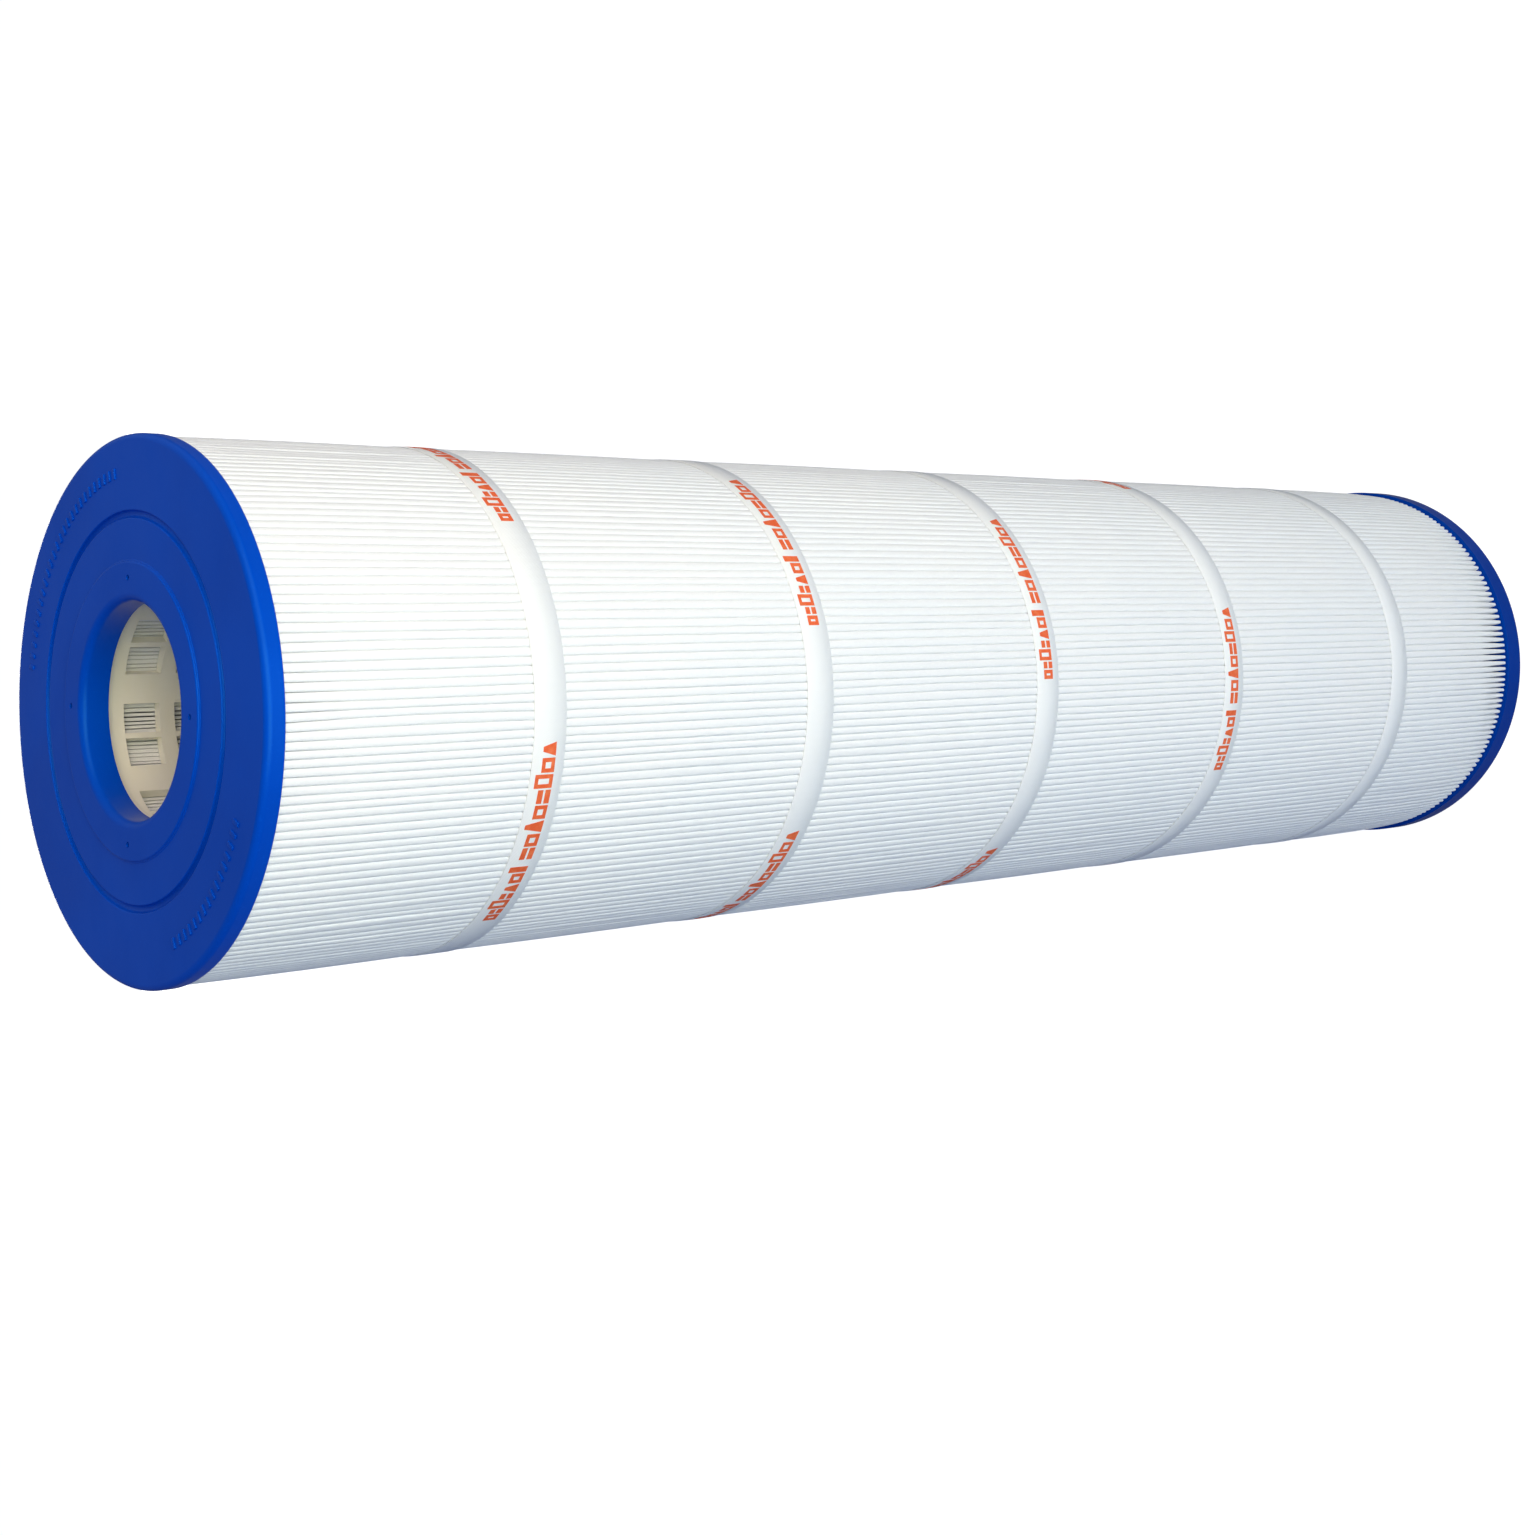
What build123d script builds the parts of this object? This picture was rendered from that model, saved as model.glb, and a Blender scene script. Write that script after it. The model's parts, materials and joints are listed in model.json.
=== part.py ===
from build123d import *
import os
from math import cos, pi, radians, sin

# Pleated pool filter cartridge, standing upright on its bottom end cap.
# Millimetres, +Z up the centre line, origin at the middle of the bottom cap's sealing collar.

# ---- Overall size ----
CAP_RADIUS = 89.0  # 7 inch outside diameter
FACE_LENGTH = 696.0  # from the bottom cap's outer face to the top cap's
COLLAR_RISE = 0.8  # the sealing collar stands proud of each outer face
BOTTOM_FACE_Z = COLLAR_RISE
TOP_FACE_Z = BOTTOM_FACE_Z + FACE_LENGTH

# ---- End caps, cast in polyurethane around the ends of the media and core ----
TOP_RIM_HEIGHT = 6.5
BOTTOM_RIM_HEIGHT = 12.7
CAP_FLOOR = 3.0  # urethane under the ends of the pleats
CAP_EDGE_ROUND = 2.2
HOLE_RADIUS = 35.3
HOLE_EDGE_ROUND = 2.5
HOLE_DEPTH = 9.0  # from the outer face to the end of the core
COLLAR_RADIUS = 48.0
COLLAR_EDGE_ROUND = 0.6
GROOVE_RADIUS = 63.1
GROOVE_HALF_WIDTH = 1.25
PIN_COUNT = 4
PIN_CIRCLE_RADIUS = 42.7
PIN_RADIUS = 1.0
PIN_DEPTH = 2.0

# Two arcs of plain raised bars, as (first angle, bar count), in degrees about the cap's axis
BAR_ARCS = [(-81.0, 26), (113.0, 16)]
BAR_SPACING = 2.9  # degrees
BAR_CIRCLE_RADIUS = 77.0
BAR_LENGTH = 3.6
BAR_WIDTH = 1.5
BAR_RISE = 0.45
BAR_ROOT = 0.5  # how far a bar reaches into the cap

# ---- Core: a moulded cage in sections that plug into one another ----
CORE_OUTER_RADIUS = 44.0
CORE_INNER_RADIUS = 40.5
CORE_SECTIONS = 5
CORE_LENGTH = FACE_LENGTH - 2 * HOLE_DEPTH
SECTION_LENGTH = CORE_LENGTH / CORE_SECTIONS
WINDOW_ROWS = 7
WINDOW_HEIGHT = 12.8
RING_HEIGHT = 5.5  # solid ring between two rows of windows
TOP_RING_HEIGHT = 7.7  # solid ring above the highest row of a section
WINDOW_PAIRS = 8
WINDOW_ANGLE = 14.0
THIN_RIB_ANGLE = 2.6
SPIGOT_HEIGHT = 4.0
SPIGOT_RADIUS = 42.2
SPIGOT_CLEARANCE = 0.05

# ---- Pleated media: one sheet of spun polyester folded into a closed star ----
PLEATS = 190
PLEAT_PITCH = 2 * pi / PLEATS
MEDIA_THICKNESS = 0.45
TIP_RADIUS = 88.3
ROOT_RADIUS = 44.5
TIP_GAP = 0.3  # between the two walls of a pleat, inside the fold
VALLEY_GAP = 0.2  # between two neighbouring pleats, at the root
TIP_ROUND = 0.35  # size of the slant on each side of a tip

# ---- Seam: the bead that closes the sheet, inside one pleat at the back ----
SEAM_PLEAT = 50
SEAM_OUTER_RADIUS = 82.0
SEAM_INNER_RADIUS = 70.0
SEAM_CLEARANCE = 0.01

# ---- Bands: flat tapes glued round the pleat tips, measured from the top face ----
BAND_DEPTHS = [101.0, 218.5, 340.0, 460.0, 587.0]
BAND_WIDTH = 12.5
BAND_THICKNESS = 0.25
BAND_LAP_LENGTH = 20.0
BAND_LAP_RISE = 0.15  # the second layer is pressed thin where it is heat-sealed
BAND_LAP_ANGLE = 130.0
BEAD_THICKNESS = 0.1
BEAD_WIDTH = 2.0
BEAD_OFFSET = 3.5

# ---- Working values ----
FULL_TURN = 360.0  # degrees
HALF_TURN = 180.0
CUT_MARGIN = 1.0  # how far a cutter reaches past the wall that it cuts
MATCH = 0.01  # how closely an edge has to match a wanted radius and height


def polar(radius, angle):
    """Point at a radius and an angle in radians."""
    return (radius * cos(angle), radius * sin(angle))


def ring(outer_radius, inner_radius, bottom, height):
    """Upright tube that starts at the height called bottom."""
    return Pos(0, 0, bottom) * extrude(Circle(outer_radius) - Circle(inner_radius), height)


def circle_edges(shape, radius, height):
    """The circular edges with this radius at this height."""
    circles = shape.edges().filter_by(GeomType.CIRCLE)
    at_height = circles.filter_by(lambda edge: abs(edge.center().Z - height) < MATCH)
    return at_height.filter_by(lambda edge: abs(edge.radius - radius) < MATCH)


# ---------------------------------------------------------------- media


def star_outline(tip_radius, tip_half_width, root_radius, root_half_width, tip_round):
    """Closed zigzag with one tip per pleat; half widths are measured round the circle."""
    points = []
    for index in range(PLEATS):
        tip_angle = index * PLEAT_PITCH
        root_angle = tip_angle + PLEAT_PITCH / 2
        shoulder = tip_half_width / tip_radius
        crown = (tip_half_width - tip_round) / tip_radius
        if tip_round:
            points.append(polar(tip_radius - tip_round, tip_angle - shoulder))
        points.append(polar(tip_radius, tip_angle - crown))
        points.append(polar(tip_radius, tip_angle + crown))
        if tip_round:
            points.append(polar(tip_radius - tip_round, tip_angle + shoulder))
        points.append(polar(root_radius, root_angle - root_half_width / root_radius))
        points.append(polar(root_radius, root_angle + root_half_width / root_radius))
    return make_face(Polyline(points, close=True))


def media_outer_face():
    """Everything inside the dirty-water side of the media."""
    tip_half_width = MEDIA_THICKNESS + TIP_GAP / 2
    root_radius = ROOT_RADIUS + MEDIA_THICKNESS
    return star_outline(TIP_RADIUS, tip_half_width, root_radius, VALLEY_GAP / 2, TIP_ROUND)


def media_inner_face():
    """Everything inside the clean-water side of the media."""
    tip_radius = TIP_RADIUS - MEDIA_THICKNESS
    root_half_width = MEDIA_THICKNESS + VALLEY_GAP / 2
    return star_outline(tip_radius, TIP_GAP / 2, ROOT_RADIUS, root_half_width, 0)


def pleated_media(outer_face, inner_face):
    """The folded sheet, whose ends stand in the end caps."""
    bottom = BOTTOM_FACE_Z + CAP_FLOOR
    height = FACE_LENGTH - 2 * CAP_FLOOR
    return Pos(0, 0, bottom) * extrude(outer_face - inner_face, height)


def half_gap(radius):
    """Half the space between the two walls of a pleat at this radius."""
    tip_radius = TIP_RADIUS - MEDIA_THICKNESS
    pitch_width = ROOT_RADIUS * PLEAT_PITCH
    root_value = pitch_width / 2 - MEDIA_THICKNESS - VALLEY_GAP / 2
    share = (radius - ROOT_RADIUS) / (tip_radius - ROOT_RADIUS)
    return root_value + share * (TIP_GAP / 2 - root_value)


def media_seam():
    """Glue strip between the two walls of one pleat, from cap to cap."""
    outer_half = half_gap(SEAM_OUTER_RADIUS) - SEAM_CLEARANCE
    inner_half = half_gap(SEAM_INNER_RADIUS) - SEAM_CLEARANCE
    corners = [
        (SEAM_INNER_RADIUS, -inner_half),
        (SEAM_OUTER_RADIUS, -outer_half),
        (SEAM_OUTER_RADIUS, outer_half),
        (SEAM_INNER_RADIUS, inner_half),
    ]
    bottom = BOTTOM_FACE_Z + BOTTOM_RIM_HEIGHT
    height = TOP_FACE_Z - TOP_RIM_HEIGHT - bottom
    strip = extrude(make_face(Polyline(corners, close=True)), height)
    return Pos(0, 0, bottom) * Rot(0, 0, SEAM_PLEAT * FULL_TURN / PLEATS) * strip


# ---------------------------------------------------------------- end caps


def cap_disc():
    """Turned body of a cap: outer face at z = 0, collar below it, inside above it."""
    disc = ring(CAP_RADIUS, HOLE_RADIUS, 0, CAP_FLOOR)
    disc += ring(COLLAR_RADIUS, HOLE_RADIUS, -COLLAR_RISE, COLLAR_RISE)
    disc += ring(CORE_OUTER_RADIUS, HOLE_RADIUS, CAP_FLOOR, HOLE_DEPTH - CAP_FLOOR)
    disc = fillet(circle_edges(disc, CAP_RADIUS, 0), CAP_EDGE_ROUND)
    disc = fillet(circle_edges(disc, COLLAR_RADIUS, -COLLAR_RISE), COLLAR_EDGE_ROUND)
    disc = fillet(circle_edges(disc, HOLE_RADIUS, -COLLAR_RISE), HOLE_EDGE_ROUND)
    return disc - Torus(GROOVE_RADIUS, GROOVE_HALF_WIDTH)


def pin_marks():
    """Cutters for the small blind marks that the mould's pins leave in the collar."""
    places = PolarLocations(PIN_CIRCLE_RADIUS, PIN_COUNT)
    return [Pos(0, 0, -COLLAR_RISE) * place * Cylinder(PIN_RADIUS, 2 * PIN_DEPTH) for place in places]


def raised_bars():
    """Arcs of plain bars standing on the outer face."""
    bar = Box(BAR_LENGTH, BAR_WIDTH, BAR_RISE + BAR_ROOT)
    height = (BAR_ROOT - BAR_RISE) / 2
    bars = []
    for first_angle, count in BAR_ARCS:
        for index in range(count):
            angle = first_angle + index * BAR_SPACING
            bars.append(Rot(0, 0, angle) * Pos(BAR_CIRCLE_RADIUS, 0, height) * bar)
    return bars


def potting(outer_face, inner_face, bottom, height):
    """Urethane that fills the spaces between the pleats."""
    outside = extrude(Circle(CAP_RADIUS) - outer_face, height)
    inside = extrude(inner_face - Circle(CORE_OUTER_RADIUS), height)
    return [Pos(0, 0, bottom) * outside, Pos(0, 0, bottom) * inside]


def moulded_cap():
    """A cap as far as the ends of the pleats, in its own frame."""
    return cap_disc() - pin_marks() + raised_bars()


def bottom_end_cap(outer_face, inner_face):
    """The deeper cap, outer face down."""
    disc = Pos(0, 0, BOTTOM_FACE_Z) * moulded_cap()
    fill_bottom = BOTTOM_FACE_Z + CAP_FLOOR
    fill = potting(outer_face, inner_face, fill_bottom, BOTTOM_RIM_HEIGHT - CAP_FLOOR)
    return disc + fill


def top_end_cap(outer_face, inner_face):
    """The shallower cap, turned over so that its outer face is up."""
    disc = Pos(0, 0, TOP_FACE_Z) * Rot(HALF_TURN, 0, 0) * moulded_cap()
    fill_bottom = TOP_FACE_Z - TOP_RIM_HEIGHT
    fill = potting(outer_face, inner_face, fill_bottom, TOP_RIM_HEIGHT - CAP_FLOOR)
    return disc + fill


# ---------------------------------------------------------------- core


def window_sector(start_angle):
    """Plan view of one window, cut right through the wall."""
    inside = CORE_INNER_RADIUS - CUT_MARGIN
    outside = CORE_OUTER_RADIUS + CUT_MARGIN
    start = radians(start_angle)
    end = radians(start_angle + WINDOW_ANGLE)
    corners = [polar(inside, start), polar(outside, start), polar(outside, end), polar(inside, end)]
    return make_face(Polyline(corners, close=True))


def window_row():
    """One row of windows: pairs with a thin rib inside each pair and a wide rib between pairs."""
    cutters = []
    for pair in range(WINDOW_PAIRS):
        pair_angle = pair * FULL_TURN / WINDOW_PAIRS
        for start in (pair_angle, pair_angle + WINDOW_ANGLE + THIN_RIB_ANGLE):
            cutters.append(extrude(window_sector(start), WINDOW_HEIGHT))
    return cutters


def caged_tube():
    """A tube of one section's length with all its windows, standing on z = 0."""
    tube = ring(CORE_OUTER_RADIUS, CORE_INNER_RADIUS, 0, SECTION_LENGTH)
    windows_height = WINDOW_ROWS * WINDOW_HEIGHT + (WINDOW_ROWS - 1) * RING_HEIGHT
    first_row = SECTION_LENGTH - TOP_RING_HEIGHT - windows_height
    cutters = []
    for row in range(WINDOW_ROWS):
        height = first_row + row * (WINDOW_HEIGHT + RING_HEIGHT)
        cutters += [Pos(0, 0, height) * cutter for cutter in window_row()]
    return tube - cutters


def core_section(tube, number):
    """One section: a socket at the foot takes the spigot of the section below."""
    section = tube
    if number > 1:
        socket_radius = SPIGOT_RADIUS + SPIGOT_CLEARANCE
        section -= ring(socket_radius, CORE_INNER_RADIUS - CUT_MARGIN, 0, SPIGOT_HEIGHT)
    if number < CORE_SECTIONS:
        section += ring(SPIGOT_RADIUS, CORE_INNER_RADIUS, SECTION_LENGTH, SPIGOT_HEIGHT)
    bottom = BOTTOM_FACE_Z + HOLE_DEPTH + (number - 1) * SECTION_LENGTH
    return Pos(0, 0, bottom) * section


# ---------------------------------------------------------------- bands


def band(depth):
    """A tape round the pleat tips, with its end lapped and heat-sealed at the back."""
    inner_radius = TIP_RADIUS + BEAD_THICKNESS
    outer_radius = inner_radius + BAND_THICKNESS
    bottom = TOP_FACE_Z - depth - BAND_WIDTH / 2
    tape = ring(outer_radius, inner_radius, bottom, BAND_WIDTH)
    lap_radius = outer_radius + BAND_LAP_RISE
    lap = ring(lap_radius, inner_radius, bottom, BAND_WIDTH)
    return tape + (lap & lap_wedge(lap_radius, bottom))


def lap_wedge(radius, bottom):
    """Wedge that picks out the lapped part of a band."""
    reach = 2 * radius
    start = radians(BAND_LAP_ANGLE)
    end = start + BAND_LAP_LENGTH / radius
    corners = [(0, 0), polar(reach, start), polar(reach, end)]
    return Pos(0, 0, bottom) * extrude(make_face(Polyline(corners, close=True)), BAND_WIDTH)


def band_glue(depth):
    """Two beads of hot-melt between a band and the pleat tips."""
    centre = TOP_FACE_Z - depth
    outer_radius = TIP_RADIUS + BEAD_THICKNESS
    beads = []
    for offset in (-BEAD_OFFSET, BEAD_OFFSET):
        bottom = centre + offset - BEAD_WIDTH / 2
        beads.append(ring(outer_radius, TIP_RADIUS, bottom, BEAD_WIDTH))
    return Compound(children=beads)


# ---------------------------------------------------------------- export


def build_nodes():
    """Every piece under the name of its node."""
    outer_face = media_outer_face()
    inner_face = media_inner_face()
    nodes = {
        "pleated_media": pleated_media(outer_face, inner_face),
        "media_seam": media_seam(),
        "bottom_end_cap": bottom_end_cap(outer_face, inner_face),
        "top_end_cap": top_end_cap(outer_face, inner_face),
    }
    tube = caged_tube()
    for number in range(1, CORE_SECTIONS + 1):
        nodes[f"core_section_{number}"] = core_section(tube, number)
    for number, depth in enumerate(BAND_DEPTHS, start=1):
        nodes[f"band_{number}"] = band(depth)
        nodes[f"band_{number}_glue"] = band_glue(depth)
    return nodes


os.makedirs("parts", exist_ok=True)
for name, shape in build_nodes().items():
    export_step(shape, f"parts/{name}.step")
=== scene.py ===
"""Looks of a pleated pool filter cartridge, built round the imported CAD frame.

Metres, +Z up the centre line. The cartridge stands on its bottom end cap at z = 0.
Angles round the cartridge are measured from +X towards +Y.
"""

import json
import math
import random

import bmesh
import bpy
import numpy as np
from mathutils import Matrix, Vector


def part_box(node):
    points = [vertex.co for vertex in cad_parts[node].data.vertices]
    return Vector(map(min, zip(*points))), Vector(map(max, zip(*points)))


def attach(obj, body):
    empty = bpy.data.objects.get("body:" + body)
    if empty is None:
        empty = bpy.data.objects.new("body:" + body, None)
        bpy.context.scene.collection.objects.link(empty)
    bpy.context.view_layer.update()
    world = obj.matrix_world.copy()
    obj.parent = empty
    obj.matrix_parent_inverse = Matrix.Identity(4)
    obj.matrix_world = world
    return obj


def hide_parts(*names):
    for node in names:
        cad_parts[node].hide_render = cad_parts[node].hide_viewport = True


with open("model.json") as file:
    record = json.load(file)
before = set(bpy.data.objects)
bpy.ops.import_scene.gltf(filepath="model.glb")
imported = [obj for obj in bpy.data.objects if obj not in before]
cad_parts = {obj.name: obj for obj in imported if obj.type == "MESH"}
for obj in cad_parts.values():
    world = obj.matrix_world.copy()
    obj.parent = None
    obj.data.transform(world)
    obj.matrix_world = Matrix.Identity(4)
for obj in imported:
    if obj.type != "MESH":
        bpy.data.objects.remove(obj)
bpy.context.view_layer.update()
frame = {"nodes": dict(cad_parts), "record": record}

MM = 0.001
TURN = 2 * math.pi

FRONT = -86.5  # angle in degrees of the side that faces the camera
RANDOM_SEED = 20

# ---- Names of the frame's nodes, and sizes read from it ----
BAND_COUNT = 5
CORE_COUNT = 5
BAND_NODES = [f"band_{number}" for number in range(1, BAND_COUNT + 1)]
GLUE_NODES = [f"{band}_glue" for band in BAND_NODES]
CORE_NODES = [f"core_section_{number}" for number in range(1, CORE_COUNT + 1)]
MOUNTS = {mount["name"]: mount for mount in frame["record"]["mounts"]}
HOLE_RADIUS = MOUNTS["top_bore"]["dims"]["r_mm"] * MM
BOTTOM_CAP_LOW, BOTTOM_CAP_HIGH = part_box("bottom_end_cap")
_, TOP_CAP_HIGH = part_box("top_end_cap")

# ---- End caps ----
CAP_RADIUS = 89 * MM
CAP_SEGMENTS = 384
COLLAR_RISE = 0.8 * MM
COLLAR_RADIUS = 48 * MM
COLLAR_ROUND = 0.6 * MM
COLLAR_ARC_GAP = 10  # degrees by which the collar's two arcs stop short of a quarter turn
HOLE_ROUND = 2.5 * MM
HOLE_DEPTH = 9 * MM
GROOVE_RADIUS = 63.1 * MM
GROOVE_HALF_WIDTH = 1.25 * MM
GROOVE_LIP = 0.3 * MM
EDGE_ROUND = 2.2 * MM
INNER_EDGE_ROUND = 0.5 * MM
SUPPORT_INSET = 0.2 * MM
LONG_FLAT = 6 * SUPPORT_INSET  # longer flats get support points
CAP_CREASE = 32  # degrees
CORE_RADIUS = 44 * MM
TOP_FACE_Z = TOP_CAP_HIGH.z - COLLAR_RISE
BOTTOM_FACE_Z = BOTTOM_CAP_LOW.z + COLLAR_RISE
TOP_RIM_HEIGHT = 6.5 * MM
BOTTOM_RIM_HEIGHT = BOTTOM_CAP_HIGH.z - BOTTOM_FACE_Z
# Steps of the arcs in the cap's outline
HOLE_STEPS = 10
COLLAR_STEPS = 5
COLLAR_FOOT_STEPS = 3
GROOVE_STEPS = 10
LIP_STEPS = 3
EDGE_STEPS = 12
INNER_EDGE_STEPS = 4
PIN_COUNT = 4
PIN_CIRCLE_RADIUS = 42.7 * MM
PIN_RADIUS = 1.0 * MM
PIN_DEPTH = 2.0 * MM
PIN_SEGMENTS = 24
BAR_ARCS = [(-81.0, 26), (113.0, 16)]  # first angle in degrees and bar count, seen from outside the cap
BAR_SPACING = 2.9  # degrees
BAR_CIRCLE_RADIUS = 77 * MM
BAR_SIZE = (3.6 * MM, 1.5 * MM)
BAR_RISE = 0.45 * MM
BAR_ROOT = 0.5 * MM
BAR_BEVEL = 0.22 * MM
BAR_BEVEL_STEPS = 3
ROUND_BEVEL = 0.5  # Blender's profile value for a round bevel

# ---- Pleated media ----
PLEATS = 190
TIP_RADIUS = 88.3 * MM
ROOT_RADIUS = 44.5 * MM
SHEET = 0.45 * MM
FIRST_SPAN_SHARES = (0.0, 0.07, 0.24, 0.6)  # closer together where the pleats come out of the bottom cap
SPAN_SHARES = (0.0, 0.25, 0.5, 0.75)
POTTED_DEPTH = 1 * MM
# The lowest levels, where the pleats are pinched as they enter the bottom cap
BOTTOM_FULLNESS = (0.50, 0.68, 0.95)  # how far the folds fill their pitch
BOTTOM_DRAW_IN = (1.0 * MM, 0.7 * MM, 0.2 * MM)  # how far the tips stand back
TOP_FULLNESS = 0.93
PITCH_SWING = 0.055  # how far the pleat spacing opens and closes round the cartridge
PITCH_WAVES = 5
PITCH_CENTRE = math.radians(FRONT)
TIP_JITTER = 0.13 * MM
TIP_WANDER = 0.30 * MM
TIP_WANDER_LIMIT = 0.9 * MM
TIP_WANDER_WAVES = range(9, 60, 7)  # how many waves each part of the wander has round the cartridge
TIP_BULGE = 0.25 * MM
TIP_SAG = 0.12 * MM
TIP_SAG_LIMIT = 0.5 * MM
TIP_SAG_WAVES = range(11, 50, 6)
MEDIA_CREASE = 60  # degrees
# The fold's outline as (depth below the tip, share of the room up to the middle of the gap)
OUTER_FOLD = [(0.0, 0.0), (0.04 * MM, 0.42), (0.16 * MM, 0.72)]
OUTER_FOLD += [(0.40 * MM, 0.91), (0.80 * MM, 0.992), (8.0 * MM, 0.96)]
INNER_FOLD = [(0.5 * MM, 0.0), (1.25 * MM, 0.98), (8.0 * MM, 0.96)]
OUTER_VALLEY = 0.1 * MM
INNER_ROOT_SHARES = (0.62, 0.92)  # least and greatest width of a root, as a share of its pitch
ROOT_POINTS = 2  # points of each ring at a pleat's root
SEAM_PLEAT = 50  # number of the pleat that holds the seam
SEAM_RADII = (70 * MM, 82 * MM)
SEAM_HALF_WIDTH = 0.12 * MM

# ---- Bands ----
TAPE_INNER_RADIUS = 88.4 * MM
TAPE_THICKNESS = 0.25 * MM
TAPE_SCALLOP = 0.05 * MM
TAPE_EDGE = 0.1 * MM  # size of the slant along the tape's outer edges
TAPE_STEPS = PLEATS * 4
TAPE_CREASE = 50  # degrees
TAPE_LAP_START = math.radians(130)
TAPE_LAP_LENGTH = 20 * MM
TAPE_RAMP = math.radians(2)
WARP_PITCH = 0.55 * MM
WEFT_PITCH = 0.7 * MM

# ---- Print on the bands ----
# The print's two groups from its upper end in the photo: each mark as (kind, width in millimetres)
PRINT_GROUPS = [
    [("wedge", 4.6), ("frame", 4.9), ("tall frame", 4.7), ("stack", 4.8),
     ("frame", 4.9), ("tall wedge", 4.4), ("frame", 4.8), ("stack", 4.7)],
    [("tall post", 2.4), ("frame", 4.4), ("wedge", 3.9), ("stack", 2.8),
     ("tall frame", 4.4), ("stack", 2.6), ("frame", 3.6)],
]
PRINT_GAP = 0.6 * MM
PRINT_GROUP_GAP = 3.0 * MM
PRINT_BASE = -2.7 * MM  # lower edge of the marks, from the middle of the tape
MARK_HEIGHT = 5.0 * MM
TALL_MARK_HEIGHT = 7.0 * MM
PRINT_STROKE = 1.4 * MM
STACK_GAP = 0.8 * MM
WEDGE_TOP = 0.35  # width of a wedge's upper edge, as a share of its foot
INK_LIFT = 0.005 * MM
INK_THICKNESS = 0.05 * MM
PRINT_LAP_MARGIN = math.radians(2)
PRINT_REPEAT = math.radians(97.3)
PRINT_REPEATS = range(-3, 4)  # enough to go all the way round from any print
# Middle of one print on each printed band, in degrees
PRINT_CENTRES = {1: -120.0, 2: -49.5, 3: -64.4, 4: -93.3}

# ---- Stage, lights and camera ----
FLOOR_HALF_WIDTH = 14
FLOOR_Z = -0.1 * MM
PAPER_COLOUR = (0.34, 0.35, 0.37, 1)
PAPER_GLOW = 0.93  # strength of the white light that only the camera sees on the paper
LIGHT_TARGET = Vector((0, 0, 0.36))
LIGHT_DISTANCE = 1.5
# Softboxes: name, degrees round from the front, elevation in degrees, size in metres, power in watts
# and colour
SOFTBOXES = [
    ("high", 0, 30, 1.1, 11.4, (1.0, 0.97, 0.58)),
    ("side", 40, 40, 1.1, 8.2, (1.0, 0.74, 0.62)),
    ("front", 0, 5, 1.1, 11.2, (0.46, 0.585, 0.82)),
    ("back", 180, -3, 0.6, 8.0, (1.0, 0.98, 0.94)),
]
AMBIENT_FROM_LOW_X = (0.03, 0.075, 0.30, 1)
AMBIENT_FROM_HIGH_X = (0.29, 0.36, 0.37, 1)
WORLD_SEEN = (0.8, 0.8, 0.8, 1)  # what the camera sees beyond the floor
# The camera looks down at this angle and is rolled a quarter turn, so that +X is up in the picture
CAMERA_DOWN = math.radians(42.32)
CAMERA_PLACE = (0.0405, -0.6680, 1.0092)
CAMERA_SENSOR = 36  # millimetres, as is the lens
CAMERA_LENS = 51.62
CAMERA_SHIFT = (-0.0300, -0.1195)

random.seed(RANDOM_SEED)


# ---------------------------------------------------------------- small helpers


def smooth_step(t):
    """Eases from 0 to 1 as t goes from 0 to 1, and stays there beyond."""
    t = min(max(t, 0), 1)
    return t * t * (3 - 2 * t)


def arc(centre, radius, start_degrees, end_degrees, steps):
    """Points of a circular arc in a profile plane, both ends included."""
    points = []
    for step in range(steps + 1):
        angle = math.radians(start_degrees + (end_degrees - start_degrees) * step / steps)
        points.append((centre[0] + radius * math.cos(angle), centre[1] + radius * math.sin(angle)))
    return points


def rectangle(left, right, bottom, top):
    """Corners of a rectangle, counterclockwise from its lower left."""
    return [(left, bottom), (right, bottom), (right, top), (left, top)]


def new_object(name, vertices, faces):
    """A mesh object from plain lists or arrays."""
    mesh = bpy.data.meshes.new(name)
    mesh.from_pydata([tuple(v) for v in vertices], [], faces)
    mesh.update()
    thing = bpy.data.objects.new(name, mesh)
    bpy.context.scene.collection.objects.link(thing)
    return thing


def object_from(name, mesh):
    """A mesh object from bmesh data, which is freed."""
    thing = new_object(name, [], [])
    mesh.to_mesh(thing.data)
    mesh.free()
    return thing


def outward_normals(thing):
    """Turns every face of a closed mesh outwards."""
    mesh = bmesh.new()
    mesh.from_mesh(thing.data)
    bmesh.ops.recalc_face_normals(mesh, faces=mesh.faces)
    mesh.to_mesh(thing.data)
    mesh.free()


def shade(thing, degrees):
    """Smooth shading, with edges sharper than this kept crisp."""
    thing.data.shade_smooth()
    thing.data.set_sharp_from_angle(angle=math.radians(degrees))


def finish_piece(thing, material, slot, *cad_nodes):
    """Gives a piece its finish, parents it to the root body and hides the CAD nodes that it replaces."""
    thing.data.materials.clear()
    thing.data.materials.append(material)
    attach(thing, "root")
    if cad_nodes:
        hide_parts(*cad_nodes)


def boolean(thing, tools, operation):
    """Joins or cuts a list of closed meshes, and applies the result."""
    cutter = join(tools)
    modifier = thing.modifiers.new(operation, "BOOLEAN")
    modifier.operation = operation
    modifier.solver = "EXACT"
    modifier.object = cutter
    graph = bpy.context.evaluated_depsgraph_get()
    result = bpy.data.meshes.new_from_object(thing.evaluated_get(graph))
    thing.modifiers.clear()
    thing.data = result
    bpy.data.objects.remove(cutter)


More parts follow.
